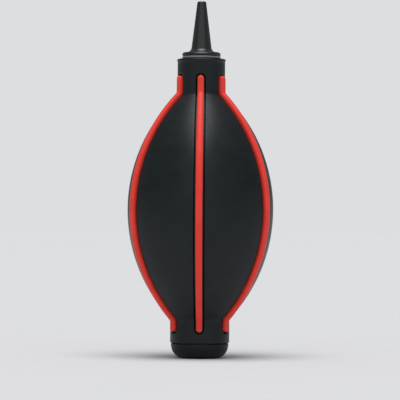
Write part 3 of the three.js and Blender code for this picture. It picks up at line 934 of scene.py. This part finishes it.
def finishes():
    """The blower's materials, made once and found by name after that."""
    if "silicone_rubber_black_moulded" in bpy.data.materials:
        return bpy.data.materials
    tone = bpy.context.scene.blower_finishes
    # Silicone rubber, compression moulded: a dull, even, near-black skin with a soft broad light
    moulded(
        "silicone_rubber_black_moulded",
        SPARK_ERODED,
        tone.bulb,
        tone.bulb_light,
        roughness=0.42,
        ior=SILICONE_IOR,
        specular=0.4,
        sheen=0.02,
    )
    # Pigmented silicone rubber, compression moulded: a strong flat red with pale, velvety edges
    moulded(
        "silicone_rubber_red_moulded",
        SPARK_ERODED,
        tone.rib,
        tone.rib_deep,
        roughness=0.42,
        ior=SILICONE_IOR,
        specular=0.3,
        sheen=0.15,
    )
    # Unpigmented silicone rubber, die-cut from sheet: a milky, even disc with a little gloss
    moulded(
        "silicone_rubber_clear_cut",
        SPARK_ERODED,
        tone.valve,
        tone.valve,
        roughness=0.4,
        ior=SILICONE_IOR,
        specular=0.5,
    )
    # Nitrile rubber, moulded as a ring: a smooth black with a thin, dim highlight
    moulded(
        "nitrile_rubber_black_moulded",
        SPARK_ERODED,
        tone.seal,
        tone.seal,
        roughness=0.4,
        ior=NITRILE_IOR,
        specular=0.34,
    )
    # ABS, injection moulded: a satin charcoal with a tight highlight and a faint orange-peel
    moulded(
        "abs_charcoal_moulded",
        FINE_BLASTED,
        tone.nozzle,
        toned(tone.nozzle, PLASTIC_CLOUD),
        roughness=0.32,
        ior=ABS_IOR,
        specular=0.6,
    )
    # ABS, injection moulded in a duller mould: a quiet black that the bulb's skin runs into
    moulded(
        "abs_black_moulded",
        FINE_BLASTED,
        tone.cap,
        toned(tone.cap, PLASTIC_CLOUD),
        roughness=0.42,
        ior=ABS_IOR,
        specular=0.2,
    )
    # Polypropylene, injection moulded: a waxy mid grey, paler than what it is pushed into
    moulded(
        "polypropylene_grey_moulded",
        FINE_BLASTED,
        tone.insert,
        toned(tone.insert, PLASTIC_CLOUD),
        roughness=0.45,
        ior=POLYPROPYLENE_IOR,
        specular=0.58,
    )
    # Polyurethane foam, cut from sheet: a dull grey lattice, its pores darkened with painted shade
    open_foam("polyurethane_foam_grey_cut", tone.foam)
    return bpy.data.materials


# ---------------------------------------------------------------- operators


class DUSTBLOWER_OT_stage(bpy.types.Operator):
    """Set the floor, the lights and the camera"""

    bl_idname = "dustblower.stage"
    bl_label = "Stage"

    FLOOR_RADIUS = 9.0
    FLOOR_DROP = 0.2 * MM  # keeps the paper just clear of the cap's underside
    FIBRE_CLOUD = 40 * MM
    FIBRE_SHADE = 0.985  # how much deeper the clouds are
    FILM_WIDTH = 36  # in mm, as the camera wants it
    CLIP_START, CLIP_END = 0.05, 30

    def execute(self, context):
        scene = context.scene
        scene.view_settings.view_transform = "Standard"
        self.floor(scene)
        self.lights(scene)
        self.camera(scene)
        return {"FINISHED"}

    def floor(self, scene):
        outline = [(self.FLOOR_RADIUS, 0), (0, 0)]
        points, faces = turned(outline, closed=False, segments=64)
        mesh = bpy.data.meshes.new("floor")
        mesh.from_pydata(points, [], faces)
        # Uncoated paper, as rolled: a matt, even pale grey with faint clouds of fibre
        material, tree, shader = new_material("backdrop_paper_matte")
        place = add(tree, "ShaderNodeTexCoord").outputs["Object"]
        scale = {"Vector": place, "Scale": 1 / self.FIBRE_CLOUD, "Detail": 2.0}
        fibres = add(tree, "ShaderNodeTexNoise", scale)
        clouds = add(tree, "ShaderNodeMapRange", {"Value": fibres, **PATCH_EDGES})
        tone = scene.blower_finishes.paper
        colours = {"Factor": clouds, 6: tuple(tone), 7: toned(tone, self.FIBRE_SHADE)}
        tint = add(tree, "ShaderNodeMix", colours, data_type="RGBA")
        tree.links.new(tint.outputs[2], shader.inputs["Base Color"])
        shader.inputs["Roughness"].default_value = 0.9
        shader.inputs["Specular IOR Level"].default_value = 0.1
        mesh.materials.append(material)
        floor = bpy.data.objects.new("floor", mesh)
        floor.location.z = -self.FLOOR_DROP
        scene.collection.objects.link(floor)

    def lights(self, scene):
        s = scene.blower_stage
        world = bpy.data.worlds.new("studio")
        world.use_nodes = True
        tree = world.node_tree
        tree.nodes.clear()
        seen = add(tree, "ShaderNodeLightPath").outputs["Is Camera Ray"]
        backdrop = {"Color": tuple(s.backdrop), "Strength": 1.0}
        room = {"Color": tuple(s.room), "Strength": s.room_strength}
        near = add(tree, "ShaderNodeBackground", room)
        far = add(tree, "ShaderNodeBackground", backdrop)
        mixed = add(tree, "ShaderNodeMixShader", {0: seen, 1: near, 2: far})
        add(tree, "ShaderNodeOutputWorld", {"Surface": mixed})
        scene.world = world
        for name, energy, spread, tilt in (
            ("ceiling_softbox", s.ceiling_strength, s.ceiling_spread, s.ceiling_tilt),
            ("front_softbox", s.front_strength, s.front_spread, s.front_tilt),
        ):
            light = bpy.data.lights.new(name, "SUN")
            light.energy, light.angle = energy, spread
            softbox = bpy.data.objects.new(name, light)
            softbox.rotation_euler = (tilt, 0, 0)
            scene.collection.objects.link(softbox)

    def camera(self, scene):
        s = scene.blower_stage
        camera = bpy.data.cameras.new("camera")
        camera.sensor_width = self.FILM_WIDTH
        camera.lens = self.FILM_WIDTH * s.distance / s.view_width
        camera.clip_start, camera.clip_end = self.CLIP_START, self.CLIP_END
        reach = Vector((math.sin(s.azimuth), -math.cos(s.azimuth), 0)) * s.distance
        place = reach + Vector((0, 0, s.height))
        turn = (Vector(s.aim) - place).to_track_quat("-Z", "Y").to_matrix()
        turn = turn @ Matrix.Rotation(s.roll, 3, "Z")
        stand = bpy.data.objects.new("camera", camera)
        stand.matrix_world = Matrix.Translation(place) @ turn.to_4x4()
        scene.collection.objects.link(stand)
        scene.camera = stand


class DUSTBLOWER_OT_bulb(bpy.types.Operator):
    """Build the slotted silicone bulb"""

    bl_idname = "dustblower.bulb"
    bl_label = "Bulb"

    def execute(self, context):
        scene = context.scene
        solid = bulb_mesh(scene.blower_bulb, scene.blower_ribs)
        finish = "silicone_rubber_black_moulded"
        piece = mesh_piece("bulb_skin", solid, finish, "bulb", "bulb")
        give_squeeze(piece, scene.blower_squeeze, Meridian(scene.blower_bulb).centre)
        return {"FINISHED"}


class DUSTBLOWER_OT_ribs(bpy.types.Operator):
    """Build the six red ribs"""

    bl_idname = "dustblower.ribs"
    bl_label = "Ribs"

    def execute(self, context):
        scene = context.scene
        finish = "silicone_rubber_red_moulded"
        for index in range(RIB_COUNT):
            node = f"rib_{index + 1}"
            solid = rib_mesh(scene.blower_bulb, scene.blower_ribs, index)
            piece = mesh_piece(f"{node}_strip", solid, finish, "bulb", node)
            give_squeeze(piece, scene.blower_squeeze, Meridian(scene.blower_bulb).centre)
        return {"FINISHED"}


class DUSTBLOWER_OT_nozzle(bpy.types.Operator):
    """Build the tapered nozzle with its flange and spigot"""

    bl_idname = "dustblower.nozzle"
    bl_label = "Nozzle"

    def execute(self, context):
        s = context.scene.blower_nozzle
        low, tip = NOZZLE_LOW.z, NOZZLE_HIGH.z
        seat = low + s.spigot_length
        top = seat + s.flange_height
        groove, half = low + s.groove_height, s.groove_width / 2
        inner = s.spigot - s.spigot_wall
        corners = [
            (inner + 0.3 * MM, low, 0.0),
            (s.spigot - 0.5 * MM, low, 0.25 * MM),
            (s.spigot, low + 0.5 * MM, 0.25 * MM),
            (s.spigot, groove - half, 0.12 * MM),
            (s.spigot - s.groove_depth, groove - half, 0.12 * MM),
            (s.spigot - s.groove_depth, groove + half, 0.12 * MM),
            (s.spigot, groove + half, 0.12 * MM),
            (s.spigot, seat, 0.12 * MM),
            (s.flange, seat, 0.2 * MM),
            (s.flange, top, s.flange_round),
            (s.cone_base, top, s.flare),
            # The tip's rounding, point by point
            (s.tip, tip - s.tip_round, 0.0),
            (s.tip - 0.06 * MM, tip - 0.6 * s.tip_round, 0.0),
            (s.tip - 0.2 * MM, tip - 0.28 * s.tip_round, 0.0),
            (s.tip - 0.42 * MM, tip - 0.08 * s.tip_round, 0.0),
            (s.tip - s.tip_round, tip, 0.0),
            (s.orifice, tip, 0.15 * MM),
            (s.orifice, tip - s.orifice_length, 0.3 * MM),
            (inner, low + 0.3 * MM, 0.15 * MM),
            (inner + 0.29 * MM, low, 0.0),
        ]
        solid = turned(rounded(corners, steps=8), closed=True)
        finish = "abs_charcoal_moulded"
        mesh_piece("nozzle_body", solid, finish, "nozzle", "nozzle", TURNED_SHARP)
        return {"FINISHED"}


class DUSTBLOWER_OT_seal_ring(bpy.types.Operator):
    """Build the soft ring in the nozzle's groove"""

    bl_idname = "dustblower.seal_ring"
    bl_label = "Seal Ring"

    SECTION_STEPS = 24
    SECTION_SWELL = 0.04 * MM  # rounder than the solid's faceted ring

    def execute(self, context):
        low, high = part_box("nozzle_seal_ring")
        radius = (high.z - low.z) / 2 + self.SECTION_SWELL
        middle, centre = (high.z + low.z) / 2, high.x - radius
        outline = [
            (centre + radius * math.cos(a), middle + radius * math.sin(a))
            for a in np.linspace(0, 2 * math.pi, self.SECTION_STEPS, endpoint=False)
        ]
        solid = turned(outline, closed=True)
        finish = "nitrile_rubber_black_moulded"
        mesh_piece("seal_ring", solid, finish, "nozzle", "nozzle_seal_ring")
        return {"FINISHED"}


class DUSTBLOWER_OT_cap(bpy.types.Operator):
    """Build the intake cap the blower stands on"""

    bl_idname = "dustblower.cap"
    bl_label = "Intake Cap"

    # The rounding stops this far short of upright, in radians, and the rim's wall takes over.
    SHORT_OUTSIDE, SHORT_INSIDE = 0.05, 0.07

    def execute(self, context):
        s = context.scene.blower_cap
        rim, top = CAP_HIGH.x, CAP_HIGH.z
        floor = rim - s.corner_reach

        def corner(inset, start, end, steps):
            reach, height = s.corner_reach - inset, s.corner - inset
            return [
                (floor + reach * math.cos(a), s.corner + height * math.sin(a), 0.0)
                for a in np.linspace(start, end, steps)
            ]

        foot = math.asin((s.ring - floor) / (s.corner_reach - s.wall)) - math.pi / 2
        corners = [
            (0.0, 0.0, 0.0),
            *corner(0.0, -math.pi / 2, -self.SHORT_OUTSIDE, 28),
            (rim, top - 0.22 * MM, 0.0),
            (rim - 0.07 * MM, top - 0.07 * MM, 0.0),
            (rim - 0.22 * MM, top, 0.0),
            (rim - s.wall, top, 0.2 * MM),
            *corner(s.wall, -self.SHORT_INSIDE, foot, 20),
            (s.ring, s.ring_top, 0.25 * MM),
            (s.ring - s.ring_wall, s.ring_top, 0.25 * MM),
            (s.ring - s.ring_wall, s.wall, 0.4 * MM),
            (0.0, s.wall, 0.0),
        ]
        solid = turned(rounded(corners), closed=False, segments=128)
        finish = "abs_black_moulded"
        piece = mesh_piece("cap_shell", solid, finish, "cap", "bottom_cap")
        carve(piece, "DIFFERENCE", pins(BASE_HOLES, s.hole_circle, s.hole, 0.0, s.wall))
        return {"FINISHED"}


class DUSTBLOWER_OT_base_insert(bpy.types.Operator):
    """Build the base insert with the inlet valve's seat, the grille and the filter"""

    bl_idname = "dustblower.base_insert"
    bl_label = "Base Insert"

    def execute(self, context):
        self.tube(context.scene.blower_inserts)
        self.grille(context.scene.blower_inserts, context.scene.blower_cap)
        self.filter()
        return {"FINISHED"}

    def tube(self, s):
        low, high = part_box("base_insert")
        barb_top = high.z - s.base_end
        barb_low = barb_top - s.base_barb_height
        seat_top = s.base_seat + s.base_seat_thickness
        corners = [
            (0.0, s.base_seat, 0.0),
            (s.base_bore, s.base_seat, 0.3 * MM),
            (s.base_bore, low.z, 0.2 * MM),
            (s.base_tube, low.z, 0.2 * MM),
            (s.base_tube, s.base_collar_low, 0.15 * MM),
            (s.base_collar, s.base_collar_low, 0.25 * MM),
            (s.base_collar, s.base_collar_high, 0.25 * MM),
            (s.base_tube, s.base_collar_high, 0.1 * MM),
            (s.base_tube, barb_low, 0.1 * MM),
            (s.base_barb, barb_low, 0.15 * MM),
            (s.base_tube, barb_top, 0.2 * MM),
            (s.base_tube, high.z, 0.1 * MM),
            (s.base_bore, high.z, 0.1 * MM),
            (s.base_bore, seat_top, 0.3 * MM),
            (0.0, seat_top, 0.0),
        ]
        solid = turned(rounded(corners, steps=3), closed=False)
        finish = "polypropylene_grey_moulded"
        piece = mesh_piece("base_tube", solid, finish, "bulb", "base_insert")
        ports = pins(BASE_HOLES, s.base_port_circle, s.base_port, s.base_seat, seat_top)
        carve(piece, "DIFFERENCE", ports)

    def grille(self, s, cap):
        low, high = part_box("filter_grille")
        solid = disc(low, high, edge=0.2 * MM, steps=3)
        finish = "polypropylene_grey_moulded"
        piece = mesh_piece("grille_disc", solid, finish, "bulb", "filter_grille")
        for count, circle in ((BASE_HOLES, cap.hole_circle), (1, 0.0)):
            carve(piece, "DIFFERENCE", pins(count, circle, s.grille_hole, low.z, high.z))

    def filter(self):
        low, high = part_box("intake_filter")
        solid = disc(low, high, edge=0.35 * MM, steps=3)
        finish = "polyurethane_foam_grey_cut"
        mesh_piece("filter_pad", solid, finish, "bulb", "intake_filter", TURNED_SHARP)


class DUSTBLOWER_OT_neck_insert(bpy.types.Operator):
    """Build the neck insert with the nozzle's socket and the outlet valve's seat"""

    bl_idname = "dustblower.neck_insert"
    bl_label = "Neck Insert"

    def execute(self, context):
        s = context.scene.blower_inserts
        low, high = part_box("neck_insert")
        barb_top = low.z + s.neck_barb_top
        flange_low = high.z - s.neck_flange_thickness
        seat_top = low.z + s.neck_seat
        corners = [
            (0.0, low.z, 0.0),
            (s.neck_tube, low.z, 0.25 * MM),
            (s.neck_barb, barb_top - s.neck_barb_height / 2, 0.2 * MM),
            (s.neck_barb, barb_top, 0.15 * MM),
            (s.neck_tube, barb_top, 0.15 * MM),
            (s.neck_tube, flange_low, 0.1 * MM),
            (s.neck_flange, flange_low, 0.18 * MM),
            (s.neck_flange, high.z, 0.22 * MM),
            (s.neck_bore, high.z, 0.3 * MM),
            (s.neck_bore, seat_top, 0.3 * MM),
            (0.0, seat_top, 0.0),
        ]
        solid = turned(rounded(corners, steps=4), closed=False)
        finish = "polypropylene_grey_moulded"
        piece = mesh_piece("neck_tube", solid, finish, "neck", "neck_insert")
        ports = pins(NECK_HOLES, s.neck_port_circle, s.neck_port, low.z, seat_top)
        carve(piece, "DIFFERENCE", ports)
        return {"FINISHED"}


class DUSTBLOWER_OT_valves(bpy.types.Operator):
    """Build the two valve discs and the cages that stop them"""

    bl_idname = "dustblower.valves"
    bl_label = "Valves"

    def execute(self, context):
        self.flap("inlet", "inlet_valve")
        self.cage("inlet", "bulb", context.scene.blower_inserts)
        self.flap("outlet", "outlet_valve")
        self.cage("outlet", "neck", context.scene.blower_inserts)
        return {"FINISHED"}

    def flap(self, name, body):
        low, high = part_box(f"{name}_valve_disc")
        solid = disc(low, high, edge=0.25 * MM, steps=4)
        finish = "silicone_rubber_clear_cut"
        mesh_piece(f"{name}_flap", solid, finish, body, f"{name}_valve_disc")

    def cage(self, name, body, s):
        low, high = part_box(f"{name}_valve_cage")
        outer, inner, edge = high.x, high.x - s.cage_ring, 0.15 * MM
        middle = (inner, (low.z + high.z) / 2, 0)
        corners = [
            middle,
            (inner, low.z, edge),
            (outer, low.z, edge),
            (outer, high.z, edge),
            (inner, high.z, edge),
            middle,
        ]
        solid = turned(rounded(corners, steps=3)[1:], closed=True)
        finish = "polypropylene_grey_moulded"
        node = f"{name}_valve_cage"
        piece = mesh_piece(f"{name}_cage", solid, finish, body, node)
        span = 2 * outer - s.cage_ring
        bars = [bar(span, s.cage_bar, low.z, high.z), bar(s.cage_bar, span, low.z, high.z)]
        carve(piece, "UNION", bars)


class DUSTBLOWER_PT_panel(bpy.types.Panel):
    """Lists what can be built"""

    bl_label = "Dust Blower"
    bl_idname = "DUSTBLOWER_PT_panel"
    bl_space_type = "VIEW_3D"
    bl_region_type = "UI"
    bl_category = "Dust Blower"

    def draw(self, context):
        for operator in OPERATORS:
            self.layout.operator(operator.bl_idname)
        for group in GROUPS:
            box = self.layout.box()
            settings = getattr(context.scene, group)
            for name in settings.__annotations__:
                box.prop(settings, name)


# ---------------------------------------------------------------- registration

GROUPS = {
    "blower_bulb": BulbSizes,
    "blower_ribs": RibSizes,
    "blower_nozzle": NozzleSizes,
    "blower_cap": CapSizes,
    "blower_inserts": InsertSizes,
    "blower_squeeze": SqueezeShape,
    "blower_finishes": Finishes,
    "blower_stage": StageSettings,
}
OPERATORS = (
    DUSTBLOWER_OT_stage,
    DUSTBLOWER_OT_bulb,
    DUSTBLOWER_OT_ribs,
    DUSTBLOWER_OT_nozzle,
    DUSTBLOWER_OT_seal_ring,
    DUSTBLOWER_OT_cap,
    DUSTBLOWER_OT_base_insert,
    DUSTBLOWER_OT_neck_insert,
    DUSTBLOWER_OT_valves,
)


def register():
    for name, group in GROUPS.items():
        bpy.utils.register_class(group)
        setattr(bpy.types.Scene, name, bpy.props.PointerProperty(type=group))
    for cls in (*OPERATORS, DUSTBLOWER_PT_panel):
        bpy.utils.register_class(cls)


def unregister():
    for cls in (DUSTBLOWER_PT_panel, *reversed(OPERATORS)):
        bpy.utils.unregister_class(cls)
    for name, group in reversed(GROUPS.items()):
        delattr(bpy.types.Scene, name)
        bpy.utils.unregister_class(group)


def main():
    register()
    bpy.ops.dustblower.stage()
    bpy.ops.dustblower.bulb()
    bpy.ops.dustblower.ribs()
    bpy.ops.dustblower.nozzle()
    bpy.ops.dustblower.seal_ring()
    bpy.ops.dustblower.cap()
    bpy.ops.dustblower.base_insert()
    bpy.ops.dustblower.neck_insert()
    bpy.ops.dustblower.valves()


if __name__ == "__main__":
    main()
